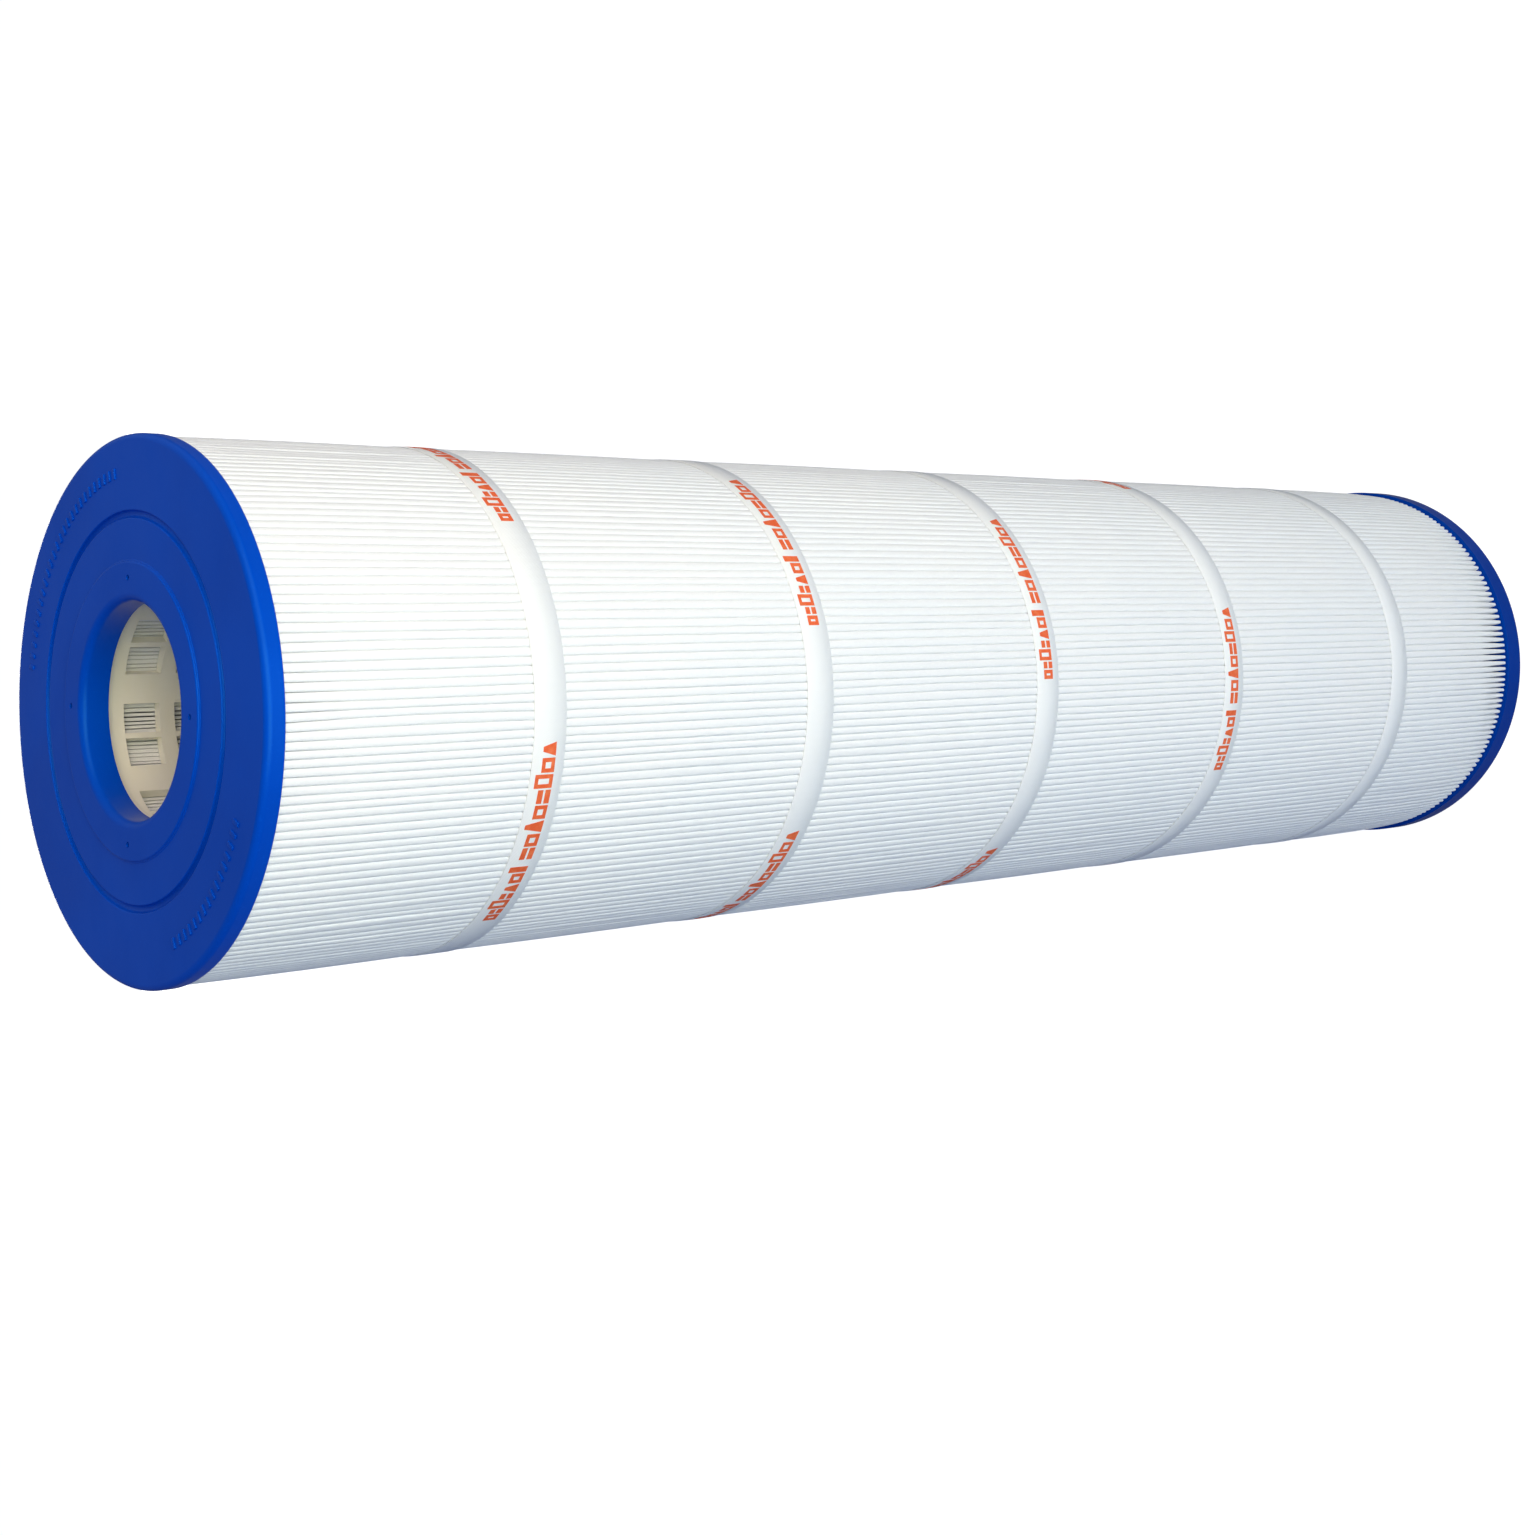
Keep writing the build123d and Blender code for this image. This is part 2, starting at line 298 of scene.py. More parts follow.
def join(things):
    """One object from several, which are removed."""
    mesh = bmesh.new()
    for thing in things:
        mesh.from_mesh(thing.data)
        bpy.data.objects.remove(thing)
    return object_from("joined", mesh)


# ---------------------------------------------------------------- materials


# Base colours: in a pair, the first is for the low end of the pattern that mixes them
CAP_BLUES = [(0.0, 0.058, 0.50), (0.0, 0.068, 0.56), (0.002, 0.086, 0.62)]  # dark, light and speck
CAP_GLOSS_TINT = (0.10, 0.60, 1.0, 1)
TOP_CAP_TONE = 1.0  # share of the base colours' brightness
TOP_CAP_GLOSS = 0.32
# Painted shade: the bottom cap's colours are darkened to stand in for the dimmer light at the far end
BOTTOM_CAP_PAINTED_SHADE_TONE = 0.58
BOTTOM_CAP_GLOSS = 0.10
MEDIA_WHITES = [(0.90, 0.925, 0.95), (0.93, 0.94, 0.95)]
# Painted shade between the media's fibres
MEDIA_PAINTED_SHADE_BETWEEN_FIBRES = (0.80, 0.83, 0.87)
# The first is painted shade in the gaps of the weave, the second the white of the yarns
TAPE_PAINTED_GAP_SHADE_AND_YARN_WHITES = [(0.84, 0.87, 0.90), (0.905, 0.925, 0.94)]
TAPE_CLOUDS = (0.88, 0.905, 0.935)
INK_ORANGES = [(0.84, 0.12, 0.03), (0.88, 0.20, 0.07)]
INK_ON_YARNS = (0.90, 0.36, 0.18)
CORE_IVORIES = [(0.93, 0.90, 0.77), (0.96, 0.94, 0.85)]
GLUE_COLOURS = [(0.74, 0.70, 0.55), (0.86, 0.84, 0.74)]

# Sockets of Blender's Mix node that blend colours
MIX_SHARE, MIX_FIRST, MIX_SECOND = 0, 6, 7
MIX_RESULT = 2


class Finish:
    """A procedural material, and short calls for the nodes it is made from.

    Noise scales are features per metre, and depths of bumps are in metres.
    """

    def __init__(self, name):
        self.material = bpy.data.materials.new(name)
        self.material.use_nodes = True
        self.tree = self.material.node_tree
        self.tree.nodes.clear()
        self.place = self.add("ShaderNodeTexCoord").outputs["Object"]

    def add(self, kind, inputs=None, **properties):
        """A node with each input linked to a socket or set to a value."""
        node = self.tree.nodes.new(kind)
        for key, value in properties.items():
            setattr(node, key, value)
        for key, value in (inputs or {}).items():
            if isinstance(value, bpy.types.NodeSocket):
                self.tree.links.new(value, node.inputs[key])
            else:
                node.inputs[key].default_value = value
        return node

    def stretched(self, scale):
        """Object coordinates scaled along X, Y and Z."""
        return self.add("ShaderNodeMapping", {"Vector": self.place, "Scale": scale}).outputs[0]

    def noise(self, scale, detail, vector=None, roughness=0.5):
        inputs = {"Vector": vector or self.place, "Scale": scale, "Detail": detail, "Roughness": roughness}
        return self.add("ShaderNodeTexNoise", inputs).outputs["Fac"]

    def cells(self, scale):
        inputs = {"Vector": self.place, "Scale": scale}
        return self.add("ShaderNodeTexVoronoi", inputs).outputs["Distance"]

    def math(self, operation, first, second=0.0):
        return self.add("ShaderNodeMath", {0: first, 1: second}, operation=operation).outputs[0]

    def to_range(self, value, low, high, new_low=0, new_high=1):
        """Maps low to high onto the new range, and holds it there."""
        inputs = {"Value": value, "From Min": low, "From Max": high, "To Min": new_low, "To Max": new_high}
        return self.add("ShaderNodeMapRange", inputs).outputs["Result"]

    def blend(self, share, first, second):
        """A colour between two others, each a plain colour or a socket."""
        inputs = {MIX_SHARE: share}
        for socket, colour in ((MIX_FIRST, first), (MIX_SECOND, second)):
            inputs[socket] = (*colour, 1) if isinstance(colour, tuple) else colour
        return self.add("ShaderNodeMix", inputs, data_type="RGBA").outputs[MIX_RESULT]

    def bump(self, height, depth, strength, below=None):
        """A surface normal roughened by a height pattern, on top of the one below."""
        inputs = {"Height": height, "Distance": depth, "Strength": strength}
        if below is not None:
            inputs["Normal"] = below
        return self.add("ShaderNodeBump", inputs).outputs["Normal"]

    def around(self):
        """Distance round the cartridge at the tape's radius, and height, as two sockets."""
        parts = self.add("ShaderNodeSeparateXYZ", {"Vector": self.place})
        angle = self.math("ARCTAN2", parts.outputs["Y"], parts.outputs["X"])
        return self.math("MULTIPLY", angle, TAPE_INNER_RADIUS), parts.outputs["Z"]

    def weave(self):
        """The tape's crossing yarns, as a height between -1 and 1."""
        along, up = self.around()
        warp = self.math("SINE", self.math("MULTIPLY", up, TURN / WARP_PITCH))
        weft = self.math("SINE", self.math("MULTIPLY", along, TURN / WEFT_PITCH))
        return self.math("MULTIPLY", warp, weft)

    def surface(self, **inputs):
        """Ends the material in a Principled shader. Input names have _ for their spaces."""
        named = {name.replace("_", " "): value for name, value in inputs.items()}
        shader = self.add("ShaderNodeBsdfPrincipled", named)
        self.add("ShaderNodeOutputMaterial", {"Surface": shader.outputs[0]})
        return self.material


def cap_finish(name, tone, gloss):
    """Cast urethane: deep royal blue, satin, with the faint skin of a poured part.

    Tone darkens its colours, as painted shade where it is below 1, and gloss is how strongly it reflects.
    """
    look = Finish(name)
    cloud = look.noise(18, detail=3)
    dark, light, bright = [tuple(tone * part for part in colour) for colour in CAP_BLUES]
    colour = look.blend(look.to_range(cloud, 0.35, 0.65), dark, light)
    specks = look.to_range(look.noise(900, detail=1), 0.62, 0.74, new_high=0.25)
    colour = look.blend(specks, colour, bright)
    roughness = look.to_range(look.noise(60, detail=4), 0.3, 0.7, new_low=0.28, new_high=0.38)
    ripple = look.bump(look.noise(45, detail=2), depth=0.10 * MM, strength=0.4)
    skin = look.bump(look.noise(1400, detail=3), depth=0.012 * MM, strength=0.5, below=ripple)
    return look.surface(Base_Color=colour, Roughness=roughness, Normal=skin, Specular_IOR_Level=gloss,
                        Specular_Tint=CAP_GLOSS_TINT)


def media_finish():
    """Spun-bonded polyester: white, matt, with crossing fibres and pressed bond points."""
    look = Finish("filter_media")
    fibres = look.noise(2600, detail=4, vector=look.stretched((1, 1, 0.22)), roughness=0.65)
    crossing = look.noise(1700, detail=3, vector=look.stretched((1, 1, 2.6)), roughness=0.6)
    mat = look.math("ADD", fibres, look.math("MULTIPLY", crossing, 0.6))
    bonds = look.to_range(look.cells(820), 0.05, 0.32)
    drift = look.noise(14, detail=2)
    colour = look.blend(look.to_range(drift, 0.3, 0.7), *MEDIA_WHITES)
    # Painted shade: darker where the fibre pattern is low, between the fibres
    shade_share = look.to_range(mat, 0.55, 1.05, new_low=0.5, new_high=0)
    colour = look.blend(shade_share, colour, MEDIA_PAINTED_SHADE_BETWEEN_FIBRES)
    fibre_bump = look.bump(mat, depth=0.10 * MM, strength=0.7)
    bond_bump = look.bump(bonds, depth=0.05 * MM, strength=0.5, below=fibre_bump)
    return look.surface(Base_Color=colour, Roughness=0.82, Normal=bond_bump, Specular_IOR_Level=0.2,
                        Sheen_Weight=0.15, Sheen_Roughness=0.5)


def tape_finish():
    """Woven polyester tape, white, with crossing yarns."""
    look = Finish("band_tape")
    weave = look.weave()
    # Painted shade: darker in the gaps between the yarns, lighter on the yarns
    colour = look.blend(look.to_range(weave, -1, 1), *TAPE_PAINTED_GAP_SHADE_AND_YARN_WHITES)
    cloud = look.to_range(look.noise(70, detail=3), 0.35, 0.7, new_high=0.4)
    colour = look.blend(cloud, colour, TAPE_CLOUDS)
    yarns = look.bump(weave, depth=0.05 * MM, strength=0.6)
    fuzz = look.bump(look.noise(3000, detail=2), depth=0.03 * MM, strength=0.5, below=yarns)
    return look.surface(Base_Color=colour, Roughness=0.62, Normal=fuzz, Specular_IOR_Level=0.3)


def ink_finish():
    """Orange printing ink that lies in the weave of the tape."""
    look = Finish("band_ink")
    weave = look.weave()
    thin = look.to_range(look.noise(420, detail=4), 0.42, 0.72)
    colour = look.blend(thin, *INK_ORANGES)
    colour = look.blend(look.to_range(weave, 0.2, 1, new_high=0.15), colour, INK_ON_YARNS)
    yarns = look.bump(weave, depth=0.04 * MM, strength=0.6)
    return look.surface(Base_Color=colour, Roughness=0.5, Normal=yarns, Specular_IOR_Level=0.35)


def core_finish():
    """Injection-moulded plastic, warm ivory, with flow lines and a satin skin."""
    look = Finish("core_plastic")
    flow = look.noise(26, detail=4, vector=look.stretched((1, 1, 3.5)), roughness=0.6)
    colour = look.blend(look.to_range(flow, 0.3, 0.7), *CORE_IVORIES)
    roughness = look.to_range(look.noise(150, detail=3), 0.3, 0.7, new_low=0.38, new_high=0.55)
    sink = look.bump(look.noise(55, detail=2), depth=0.3 * MM, strength=0.35)
    grain = look.bump(look.noise(2200, detail=2), depth=0.02 * MM, strength=0.5, below=sink)
    return look.surface(Base_Color=colour, Roughness=roughness, Normal=grain, Specular_IOR_Level=0.4)


def glue_finish():
    """Hot-melt: milky, slightly yellow and shiny."""
    look = Finish("hot_melt")
    cloud = look.noise(300, detail=3)
    colour = look.blend(cloud, *GLUE_COLOURS)
    roughness = look.to_range(cloud, 0.3, 0.7, new_low=0.22, new_high=0.4)
    dimples = look.bump(look.noise(700, detail=2), depth=0.06 * MM, strength=0.5)
    return look.surface(Base_Color=colour, Roughness=roughness, Normal=dimples)


# ---------------------------------------------------------------- end caps


def cap_profile(rim_height):
    """Closed outline of a cap as (radius, depth below the outer face)."""
    points = [(HOLE_RADIUS, HOLE_DEPTH)]
    mouth = (HOLE_RADIUS + HOLE_ROUND, HOLE_ROUND - COLLAR_RISE)
    points += arc(mouth, HOLE_ROUND, 180, 270, HOLE_STEPS)
    crest = (COLLAR_RADIUS - COLLAR_ROUND, COLLAR_ROUND - COLLAR_RISE)
    points += arc(crest, COLLAR_ROUND, -90, -COLLAR_ARC_GAP, COLLAR_STEPS)
    foot_round = COLLAR_ROUND / 2
    foot = (COLLAR_RADIUS + COLLAR_ROUND, -foot_round)
    points += arc(foot, foot_round, 180 - COLLAR_ARC_GAP, 90, COLLAR_FOOT_STEPS)
    lip = GROOVE_HALF_WIDTH + GROOVE_LIP
    points += arc((GROOVE_RADIUS - lip, GROOVE_LIP), GROOVE_LIP, -90, 0, LIP_STEPS)
    points += arc((GROOVE_RADIUS, GROOVE_LIP), GROOVE_HALF_WIDTH, 180, 0, GROOVE_STEPS)[1:-1]
    points += arc((GROOVE_RADIUS + lip, GROOVE_LIP), GROOVE_LIP, 180, 270, LIP_STEPS)
    points += arc((CAP_RADIUS - EDGE_ROUND, EDGE_ROUND), EDGE_ROUND, -90, 0, EDGE_STEPS)
    inner_edge = (CAP_RADIUS - INNER_EDGE_ROUND, rim_height - INNER_EDGE_ROUND)
    points += arc(inner_edge, INNER_EDGE_ROUND, 0, 90, INNER_EDGE_STEPS)
    points += [(CORE_RADIUS, rim_height), (CORE_RADIUS, HOLE_DEPTH)]
    return points


def with_supports(profile):
    """Adds a point close to both ends of every long flat, so that its shading stays flat."""
    points = []
    for here, there in zip(profile, profile[1:] + profile[:1]):
        points.append(here)
        length = math.dist(here, there)
        if length > LONG_FLAT:
            for share in (SUPPORT_INSET / length, 1 - SUPPORT_INSET / length):
                points.append(tuple(a + share * (b - a) for a, b in zip(here, there)))
    return points


def turned(name, profile, face_z, outward):
    """Turns a profile round the centre line. Outward is +1 for a face that looks up."""
    angles = np.arange(CAP_SEGMENTS) * TURN / CAP_SEGMENTS
    radius, depth = np.array(profile).T
    x = np.outer(np.cos(angles), radius)
    y = np.outer(np.sin(angles), radius)
    z = np.outer(np.ones(CAP_SEGMENTS), face_z - outward * depth)
    vertices = np.stack([x, y, z], axis=-1).reshape(-1, 3)
    count = len(profile)
    faces = []
    for segment in range(CAP_SEGMENTS):
        here, there = segment * count, (segment + 1) % CAP_SEGMENTS * count
        for step in range(count):
            after = (step + 1) % count
            faces.append((here + step, there + step, there + after, here + after))
    return new_object(name, vertices, faces)


def bar_block():
    """Mesh data of one raised bar with softened edges. It stands on z = 0, with its root below."""
    mesh = bmesh.new()
    bmesh.ops.create_cube(mesh, size=1)
    height = BAR_RISE + BAR_ROOT
    bmesh.ops.scale(mesh, vec=(*BAR_SIZE, height), verts=mesh.verts)
    bmesh.ops.translate(mesh, vec=(0, 0, (BAR_RISE - BAR_ROOT) / 2), verts=mesh.verts)
    top_edges = [e for e in mesh.edges if any(v.co.z > 0 for v in e.verts)]
    bmesh.ops.bevel(mesh, geom=top_edges, offset=BAR_BEVEL, segments=BAR_BEVEL_STEPS,
                    profile=ROUND_BEVEL, affect="EDGES")
    return mesh


def raised_bars(face_z, outward):
    """All the bars of one cap as separate blocks."""
    bars = []
    for first_angle, count in BAR_ARCS:
        for index in range(count):
            angle = math.radians(first_angle + index * BAR_SPACING) * -outward
            block = bar_block()
            turn = Matrix.Rotation(angle, 4, "Z") @ Matrix.Translation((BAR_CIRCLE_RADIUS, 0, 0))
            flip = Matrix.Rotation(0 if outward > 0 else math.pi, 4, "X")
            place = Matrix.Translation((0, 0, face_z)) @ turn @ flip
            bmesh.ops.transform(block, matrix=place, verts=block.verts)
            bars.append(object_from("bar", block))
    return bars


def pin_marks(face_z, outward):
    """Cutters for the small pin marks in the collar."""
    cutters = []
    for number in range(PIN_COUNT):
        angle = number * TURN / PIN_COUNT
        height = face_z + outward * COLLAR_RISE
        place = (PIN_CIRCLE_RADIUS * math.cos(angle), PIN_CIRCLE_RADIUS * math.sin(angle), height)
        cutter = bmesh.new()
        bmesh.ops.create_cone(cutter, cap_ends=True, segments=PIN_SEGMENTS, radius1=PIN_RADIUS,
                              radius2=PIN_RADIUS, depth=2 * PIN_DEPTH, matrix=Matrix.Translation(place))
        cutters.append(object_from("pin_mark", cutter))
    return cutters


def end_cap(name, rim_height, face_z, outward, material):
    """One cast cap, with its raised bars and pin marks."""
    cap = turned(name + "_cast", with_supports(cap_profile(rim_height)), face_z, outward)
    outward_normals(cap)
    boolean(cap, raised_bars(face_z, outward), "UNION")
    boolean(cap, pin_marks(face_z, outward), "DIFFERENCE")
    shade(cap, CAP_CREASE)
    finish_piece(cap, material, "cap_urethane", name)


# ---------------------------------------------------------------- pleated media


def support_heights():
    """Heights where the pleats are held: in both caps and at the middle of every band."""
    heights = [BOTTOM_FACE_Z + BOTTOM_RIM_HEIGHT - POTTED_DEPTH, TOP_FACE_Z - TOP_RIM_HEIGHT + POTTED_DEPTH]
    for name in BAND_NODES:
        low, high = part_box(name)
        heights.append((low.z + high.z) / 2)
    return sorted(heights)


def media_levels():
    """Each level as (height, span number, share of the way across the span)."""
    supports = support_heights()
    levels = []
    for span in range(len(supports) - 1):
        for share in SPAN_SHARES if span else FIRST_SPAN_SHARES:
            levels.append((supports[span] + share * (supports[span + 1] - supports[span]), span, share))
    levels.append((supports[-1], len(supports) - 2, 1.0))
    return levels


def pleat_angles():
    """Angle of every pleat's tip where it is held, unevenly gathered as on the real thing."""
    angles = []
    for index in range(PLEATS):
        even = index * TURN / PLEATS
        swing = -PITCH_SWING / PITCH_WAVES * (math.cos(PITCH_WAVES * (even - PITCH_CENTRE)) - 1)
        angles.append(even + swing + random.gauss(0, 1) * TIP_JITTER / TIP_RADIUS)
    return angles


def ring_noise(strength, waves):
    """Smooth random wobble round the circle, one value per pleat."""
    values = np.zeros(PLEATS)
    index = np.arange(PLEATS)
    for wave in waves:
        values += random.gauss(0, 1) * np.sin(index * wave * TURN / PLEATS + random.uniform(0, TURN))
    return strength * values / math.sqrt(len(waves) / 2)


def pleat_paths():
    """Tip angle and tip radius of every pleat at every level."""
    held = np.array(pleat_angles())
    levels = media_levels()
    _, last_span, _ = levels[-1]
    wander = [ring_noise(TIP_WANDER, TIP_WANDER_WAVES) for _ in range(last_span + 1)]
    sag = [np.abs(ring_noise(TIP_SAG, TIP_SAG_WAVES)) for _ in range(last_span + 1)]
    angles, radii = [], []
    for _, span, share in levels:
        bow = math.sin(math.pi * share)
        sideways = np.clip(wander[span], -TIP_WANDER_LIMIT, TIP_WANDER_LIMIT) * bow
        angles.append(held + sideways / TIP_RADIUS)
        radii.append(TIP_RADIUS + (TIP_BULGE - np.clip(sag[span], 0, TIP_SAG_LIMIT)) * bow)
    for number, draw_in in enumerate(BOTTOM_DRAW_IN):
        radii[number] -= draw_in
    return levels, np.array(angles), np.array(radii)


def fullness(level_number, level_count):
    """How far the folds fill their pitch: less where they stand in the end caps."""
    if level_number < len(BOTTOM_FULLNESS):
        return BOTTOM_FULLNESS[level_number]
    return TOP_FULLNESS if level_number == level_count - 1 else 1.0


def gap_middles(angles):
    """Middle of the gap before and after every pleat."""
    before = np.insert(angles[:-1], 0, angles[-1] - TURN)
    after = np.append(angles[1:], angles[0] + TURN)
    return (before + angles) / 2, (angles + after) / 2


def outer_ring(angles, radii, full):
    """One closed zigzag on the dirty-water side."""
    rows = []
    before, after = gap_middles(angles)
    for depth, share in reversed(OUTER_FOLD):
        rows.append((radii - depth, angles + full * share * (before - angles)))
    for depth, share in OUTER_FOLD[1:]:
        rows.append((radii - depth, angles + full * share * (after - angles)))
    root = np.full(PLEATS, ROOT_RADIUS + SHEET)
    for side in (-1, 1):
        rows.append((root, after + side * OUTER_VALLEY / root))
    return rows


def inner_ring(angles, radii, full, root_shares):
    """One closed zigzag on the clean-water side."""
    rows = []
    before, after = gap_middles(angles)
    for depth, share in reversed(INNER_FOLD[1:]):
        rows.append((radii - depth, angles + full * share * (before - angles) + SHEET / radii))
    rows.append((radii - INNER_FOLD[0][0], angles))
    for depth, share in INNER_FOLD[1:]:
        rows.append((radii - depth, angles + full * share * (after - angles) - SHEET / radii))
    root = np.full(PLEATS, ROOT_RADIUS)
    for side in (-1, 1):
        rows.append((root, after + side * root_shares * (after - angles)))
    return rows


def ring_vertices(rows, height):
    """Interleaves the rows of one level so that the points run round the circle."""
    radius = np.array([r for r, _ in rows]).T.reshape(-1)
    angle = np.array([a for _, a in rows]).T.reshape(-1)
    return np.stack([radius * np.cos(angle), radius * np.sin(angle), np.full(radius.size, height)], axis=-1)


def pleated_media(paths, material):
    """The folded sheet as one closed mesh: outer and inner walls and two end strips."""
    levels, angles, radii = paths
    root_shares = np.array([random.uniform(*INNER_ROOT_SHARES) for _ in range(PLEATS)])
    outer, inner = [], []
    for number, (height, _, _) in enumerate(levels):
        full = fullness(number, len(levels))
        outer.append(ring_vertices(outer_ring(angles[number], radii[number], full), height))
        inner.append(ring_vertices(inner_ring(angles[number], radii[number], full, root_shares), height))
    outer_count, inner_count = len(outer[0]), len(inner[0])
    vertices = np.concatenate(outer + inner)
    inner_start = outer_count * len(levels)
    outer_step, inner_step = outer_count // PLEATS, inner_count // PLEATS
    faces = wall_faces(len(levels), outer_count)
    faces += wall_faces(len(levels), inner_count, inner_start, flipped=True)
    faces += end_faces(outer_step, inner_step, 0, inner_start, top=False)
    last_outer = outer_count * (len(levels) - 1)
    last_inner = inner_start + inner_count * (len(levels) - 1)
    faces += end_faces(outer_step, inner_step, last_outer, last_inner, top=True)
    media = new_object("pleated_sheet", vertices, faces)
    outward_normals(media)
    shade(media, MEDIA_CREASE)
    finish_piece(media, material, "filter_media", "pleated_media")


def wall_faces(level_count, ring_count, start=0, flipped=False):
    """Quads between stacked closed rings of points, the first ring starting at this point."""
    faces = []
    for level in range(level_count - 1):
        low = start + level * ring_count
        for step in range(ring_count):
            after = (step + 1) % ring_count
            face = (low + step, low + after, low + ring_count + after, low + ring_count + step)
            faces.append(face[::-1] if flipped else face)
    return faces


def closing_faces(level_count, ring_count):
    """One face over each end of a stack of closed rings that starts at point 0."""
    last = ring_count * (level_count - 1)
    return [tuple(range(ring_count))[::-1], tuple(range(last, last + ring_count))]


def end_faces(outer_step, inner_step, outer_start, inner_start, top):
    """Closes the sheet's cut edge at one end, fold by fold.

    A pleat's points run up its left wall, over the tip and down its right wall to two root points.
    Each step is the number of points that a pleat has in that ring.
    """
    faces = []
    outer_total, inner_total = outer_step * PLEATS, inner_step * PLEATS
    outer_tip = (outer_step - ROOT_POINTS) // 2
    inner_tip = (inner_step - ROOT_POINTS) // 2
    for pleat in range(PLEATS):
        # Both lists end with the first point of the next pleat
        outer = [outer_start + (pleat * outer_step + k) % outer_total for k in range(outer_step + 1)]
        inner = [inner_start + (pleat * inner_step + k) % inner_total for k in range(inner_step + 1)]
        tip_left = outer[: outer_tip + 1] + inner[inner_tip::-1]
        tip_right = outer[outer_tip: 2 * outer_tip + 1] + inner[2 * inner_tip: inner_tip - 1: -1]
        wall_down = outer[-4:-2] + inner[-3:-5:-1]
        root = outer[-3:-1] + inner[-2:-4:-1]
        wall_up = outer[-2:] + inner[:-3:-1]
        for face in (tip_left, tip_right, wall_down, root, wall_up):
            faces.append(tuple(face if top else face[::-1]))
    return faces


def seam_bead(paths, material):
    """Glue strip inside one pleat, which follows that pleat up the cartridge."""
    levels, angles, _ = paths
    inner, outer = SEAM_RADII
    corners = [(inner, -1), (outer, -1), (outer, 1), (inner, 1)]  # radius and side
    vertices = []
    for (height, _, _), row in zip(levels, angles):
        for radius, side in corners:
            angle = row[SEAM_PLEAT] + side * SEAM_HALF_WIDTH / radius
            vertices.append((radius * math.cos(angle), radius * math.sin(angle), height))
    faces = wall_faces(len(levels), len(corners)) + closing_faces(len(levels), len(corners))
    bead = new_object("seam_bead", vertices, faces)
    outward_normals(bead)
    finish_piece(bead, material, "hot_melt", "media_seam")


# ---------------------------------------------------------------- bands


def tape_radius(turned_by):
    """Inner radius of the tape after it has turned this far from its start."""
    scallop = TAPE_SCALLOP * math.sin(turned_by * PLEATS / 2) ** 2
    climb = smooth_step((turned_by - (TURN - TAPE_RAMP)) / TAPE_RAMP)
    return TAPE_INNER_RADIUS - scallop * (1 - climb) + climb * TAPE_THICKNESS


def tape_band(node, number, material):
    """A tape wound once round the pleat tips, with its last stretch sealed over its first."""
    low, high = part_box(node)
    lap = TAPE_LAP_LENGTH / TAPE_INNER_RADIUS
    width = high.z - low.z
    shoulder = TAPE_THICKNESS - TAPE_EDGE
    section = [(0, 0), (shoulder, 0), (TAPE_THICKNESS, TAPE_EDGE)]
    section += [(TAPE_THICKNESS, width - TAPE_EDGE), (shoulder, width), (0, width)]
    vertices = []
    for step in range(TAPE_STEPS + 1):
        turned_by = step / TAPE_STEPS * (TURN + lap)
        angle = TAPE_LAP_START + turned_by
        inner = tape_radius(turned_by)
        for rise, up in section:
            vertices.append(((inner + rise) * math.cos(angle), (inner + rise) * math.sin(angle), low.z + up))
    faces = wall_faces(TAPE_STEPS + 1, len(section)) + closing_faces(TAPE_STEPS + 1, len(section))
    tape = new_object(f"tape_{number}", vertices, faces)
    outward_normals(tape)
    shade(tape, TAPE_CREASE)
    finish_piece(tape, material, "band_tape", node)


def mark_shapes(kind, width):
    """The plates of one mark, from its lower left corner: each is an outline, with a hole in a frame."""
    height = TALL_MARK_HEIGHT if kind.startswith("tall") else MARK_HEIGHT
    outline = rectangle(0, width, 0, height)
    if kind.endswith("post"):
        return [[outline]]
    if kind.endswith("wedge"):
        inset = width * (1 - WEDGE_TOP) / 2
        return [[[(0, 0), (width, 0), (width - inset, height), (inset, height)]]]
    if kind.endswith("stack"):
        half = (height - STACK_GAP) / 2
        return [[rectangle(0, width, 0, half)], [rectangle(0, width, height - half, height)]]
    hole = rectangle(PRINT_STROKE, width - PRINT_STROKE, PRINT_STROKE, height - PRINT_STROKE)
    return [[outline, hole]]


def print_layout():
    """Every plate of one whole print, measured from the print's middle, and half the print's length."""
    length = sum(width * MM + PRINT_GAP for group in PRINT_GROUPS for _, width in group)
    length += (len(PRINT_GROUPS) - 1) * (PRINT_GROUP_GAP - PRINT_GAP) - PRINT_GAP
    plates = []
    along = -length / 2
    for group in PRINT_GROUPS:
        for kind, width_mm in group:
            for loops in mark_shapes(kind, width_mm * MM):
                plates.append([[(along + across, PRINT_BASE + up) for across, up in loop] for loop in loops])
            along += width_mm * MM + PRINT_GAP
        along += PRINT_GROUP_GAP - PRINT_GAP
    return plates, length / 2


def ink_plate(vertices, faces, loops, centre_angle, middle_z):
    """Adds one plate of ink that follows the tape's curve, with a hole where there is a second loop."""
    inner = TAPE_INNER_RADIUS + TAPE_THICKNESS + INK_LIFT
    first = len(vertices)
    for radius in (inner, inner + INK_THICKNESS):
        for loop in loops:
            for along, up in loop:
                angle = centre_angle - along / radius
                vertices.append((radius * math.cos(angle), radius * math.sin(angle), middle_z + up))
    corners = len(loops[0])
    upper = corners * len(loops)
    for corner in range(corners):
        here, there = first + corner, first + (corner + 1) % corners
        faces.append((here, there, there + upper, here + upper))
        if len(loops) == 2:
            hole_here, hole_there = here + corners, there + corners
            faces.append((hole_here, hole_there, hole_there + upper, hole_here + upper))
            for level in (0, upper):
                faces.append((here + level, there + level, hole_there + level, hole_here + level))
    if len(loops) == 1:
        for level in (first, first + upper):
            faces.append(tuple(range(level, level + corners)))


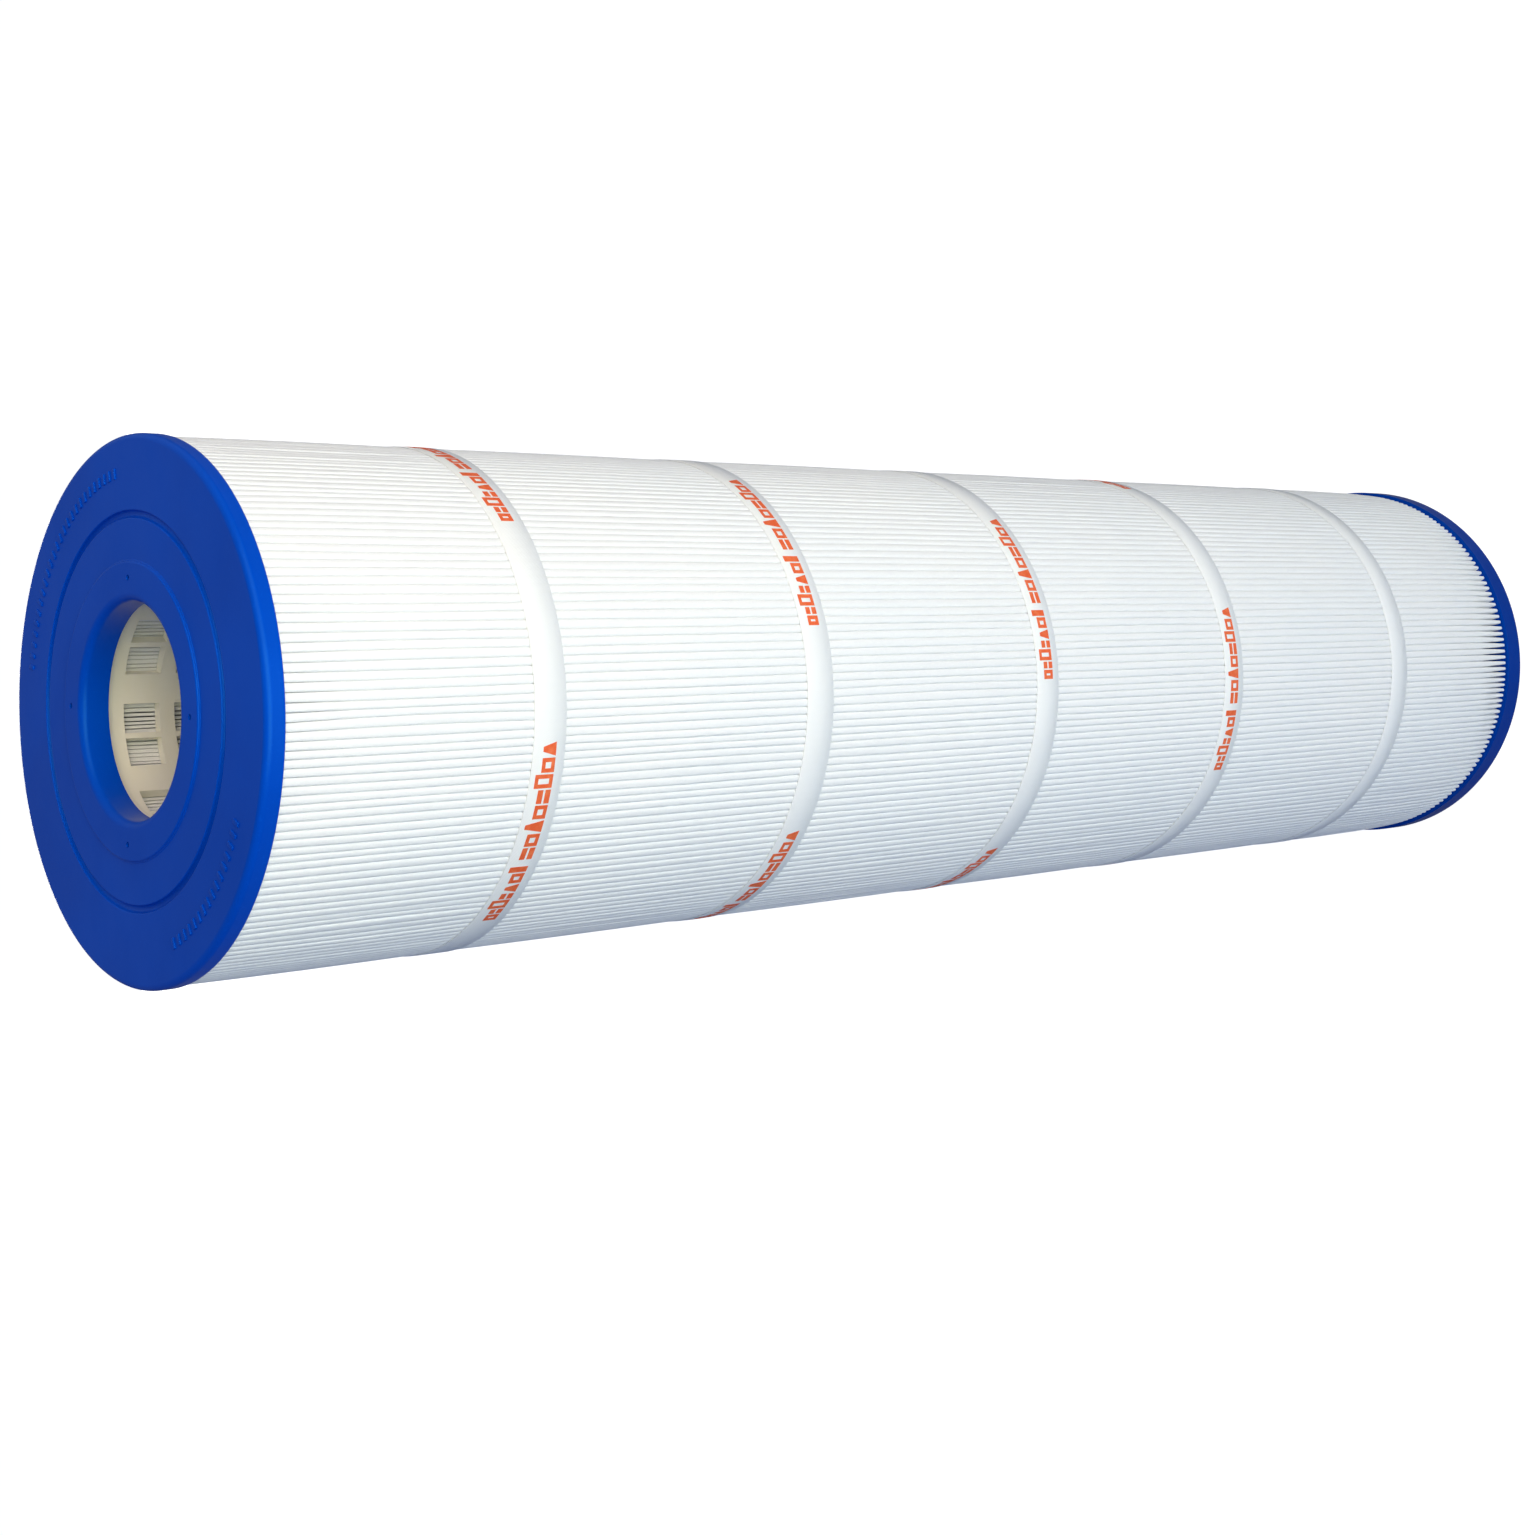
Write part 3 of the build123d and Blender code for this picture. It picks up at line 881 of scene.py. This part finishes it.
def printed_marks(number, material):
    """The generic print of one band, repeated round the tape and clear of its lap."""
    low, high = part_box(f"band_{number}")
    layout, half_length = print_layout()
    half_angle = half_length / TAPE_INNER_RADIUS
    tape_end = TAPE_LAP_START - PRINT_LAP_MARGIN
    tape_start = TAPE_LAP_START - TURN + TAPE_LAP_LENGTH / TAPE_INNER_RADIUS + PRINT_LAP_MARGIN
    vertices, faces = [], []
    for repeat in PRINT_REPEATS:
        centre = math.radians(PRINT_CENTRES[number]) + repeat * PRINT_REPEAT
        if centre - half_angle < tape_start or centre + half_angle > tape_end:
            continue
        for loops in layout:
            ink_plate(vertices, faces, loops, centre, (low.z + high.z) / 2)
    marks = new_object(f"tape_print_{number}", vertices, faces)
    outward_normals(marks)
    finish_piece(marks, material, "band_tape")


# ---------------------------------------------------------------- carried-over CAD nodes


def repaint(node, material):
    """Gives a CAD node a procedural finish in its own material slots."""
    thing = frame["nodes"][node]
    for material_slot in thing.material_slots:
        material_slot.material = material


# ---------------------------------------------------------------- stage, lights and camera


def floor_finish():
    """Pale, even paper. The camera sees it near white; other rays meet plain matt paper."""
    look = Finish("floor_paper")
    paper = look.add("ShaderNodeBsdfDiffuse", {"Color": PAPER_COLOUR})
    glow = look.add("ShaderNodeEmission", {"Color": (1, 1, 1, 1), "Strength": PAPER_GLOW})
    bright = look.add("ShaderNodeAddShader", {0: paper.outputs[0], 1: glow.outputs[0]})
    camera_ray = look.add("ShaderNodeLightPath").outputs["Is Camera Ray"]
    mixed = look.add("ShaderNodeMixShader", {0: camera_ray, 1: paper.outputs[0], 2: bright.outputs[0]})
    look.add("ShaderNodeOutputMaterial", {"Surface": mixed.outputs[0]})
    return look.material


def floor():
    """A wide sheet just below the cartridge."""
    half = FLOOR_HALF_WIDTH
    corners = [(x, y, FLOOR_Z) for x, y in rectangle(-half, half, -half, half)]
    plane = new_object("floor", corners, [(0, 1, 2, 3)])
    plane.data.materials.append(floor_finish())


def soft_light(name, round_angle, elevation, size, power, colour):
    """A square softbox that faces the cartridge."""
    data = bpy.data.lights.new(name, "AREA")
    data.shape = "SQUARE"
    data.size = size
    data.energy = power
    data.color = colour
    light = bpy.data.objects.new(name, data)
    turn, rise = math.radians(FRONT + round_angle), math.radians(elevation)
    towards = Vector((math.cos(rise) * math.cos(turn), math.cos(rise) * math.sin(turn), math.sin(rise)))
    light.location = LIGHT_TARGET + LIGHT_DISTANCE * towards
    light.rotation_euler = (-towards).to_track_quat("-Z", "Y").to_euler()
    bpy.context.scene.collection.objects.link(light)


def studio_world():
    """Soft light from all round, dim and blue from -X, brighter from +X. The camera sees plain grey."""
    world = bpy.data.worlds.new("studio")
    bpy.context.scene.world = world
    world.use_nodes = True
    nodes, links = world.node_tree.nodes, world.node_tree.links
    direction = nodes.new("ShaderNodeSeparateXYZ")
    links.new(nodes.new("ShaderNodeTexCoord").outputs["Generated"], direction.inputs[0])
    share = nodes.new("ShaderNodeMapRange")
    share.inputs["From Min"].default_value = -1  # the direction's X runs from -1 to 1
    links.new(direction.outputs["X"], share.inputs["Value"])
    colour = nodes.new("ShaderNodeMix")
    colour.data_type = "RGBA"
    colour.inputs[MIX_FIRST].default_value = AMBIENT_FROM_LOW_X
    colour.inputs[MIX_SECOND].default_value = AMBIENT_FROM_HIGH_X
    links.new(share.outputs["Result"], colour.inputs[MIX_SHARE])
    ambient = nodes["Background"]
    links.new(colour.outputs[MIX_RESULT], ambient.inputs["Color"])
    seen = nodes.new("ShaderNodeBackground")
    seen.inputs["Color"].default_value = WORLD_SEEN
    mix = nodes.new("ShaderNodeMixShader")
    links.new(nodes.new("ShaderNodeLightPath").outputs["Is Camera Ray"], mix.inputs[0])
    links.new(ambient.outputs[0], mix.inputs[1])
    links.new(seen.outputs[0], mix.inputs[2])
    links.new(mix.outputs[0], nodes["World Output"].inputs["Surface"])


def studio():
    """The ambient light and the softboxes."""
    studio_world()
    for softbox in SOFTBOXES:
        soft_light(*softbox)


def camera():
    """The camera that matches the photo's view."""
    data = bpy.data.cameras.new("camera")
    data.sensor_width = CAMERA_SENSOR
    data.lens = CAMERA_LENS
    data.shift_x, data.shift_y = CAMERA_SHIFT
    view = bpy.data.objects.new("camera", data)
    right = Vector((0, -math.sin(CAMERA_DOWN), -math.cos(CAMERA_DOWN)))
    up = Vector((1, 0, 0))
    back = Vector((0, -math.cos(CAMERA_DOWN), math.sin(CAMERA_DOWN)))
    turn = Matrix((right, up, back)).transposed().to_4x4()
    view.matrix_world = Matrix.Translation(CAMERA_PLACE) @ turn
    bpy.context.scene.collection.objects.link(view)
    bpy.context.scene.camera = view


# ---------------------------------------------------------------- build


def build():
    """Every visible piece with its finish, in the order of the random draws."""
    top_material = cap_finish("cap_urethane", TOP_CAP_TONE, TOP_CAP_GLOSS)
    # The bottom cap gets a darker copy of the urethane, as painted shade
    bottom_painted_shade_material = cap_finish("cap_urethane_painted_shade", BOTTOM_CAP_PAINTED_SHADE_TONE, BOTTOM_CAP_GLOSS)
    end_cap("top_end_cap", TOP_RIM_HEIGHT, TOP_FACE_Z, 1, top_material)
    end_cap("bottom_end_cap", BOTTOM_RIM_HEIGHT, BOTTOM_FACE_Z, -1, bottom_painted_shade_material)
    paths = pleat_paths()
    pleated_media(paths, media_finish())
    glue_material = glue_finish()
    seam_bead(paths, glue_material)
    tape_material = tape_finish()
    ink_material = ink_finish()
    for number, node in enumerate(BAND_NODES, start=1):
        tape_band(node, number, tape_material)
        if number in PRINT_CENTRES:
            printed_marks(number, ink_material)
    core_material = core_finish()
    for node in CORE_NODES:
        repaint(node, core_material)
    for node in GLUE_NODES:
        repaint(node, glue_material)


build()
floor()
studio()
camera()
bpy.context.scene.view_settings.view_transform = "Standard"
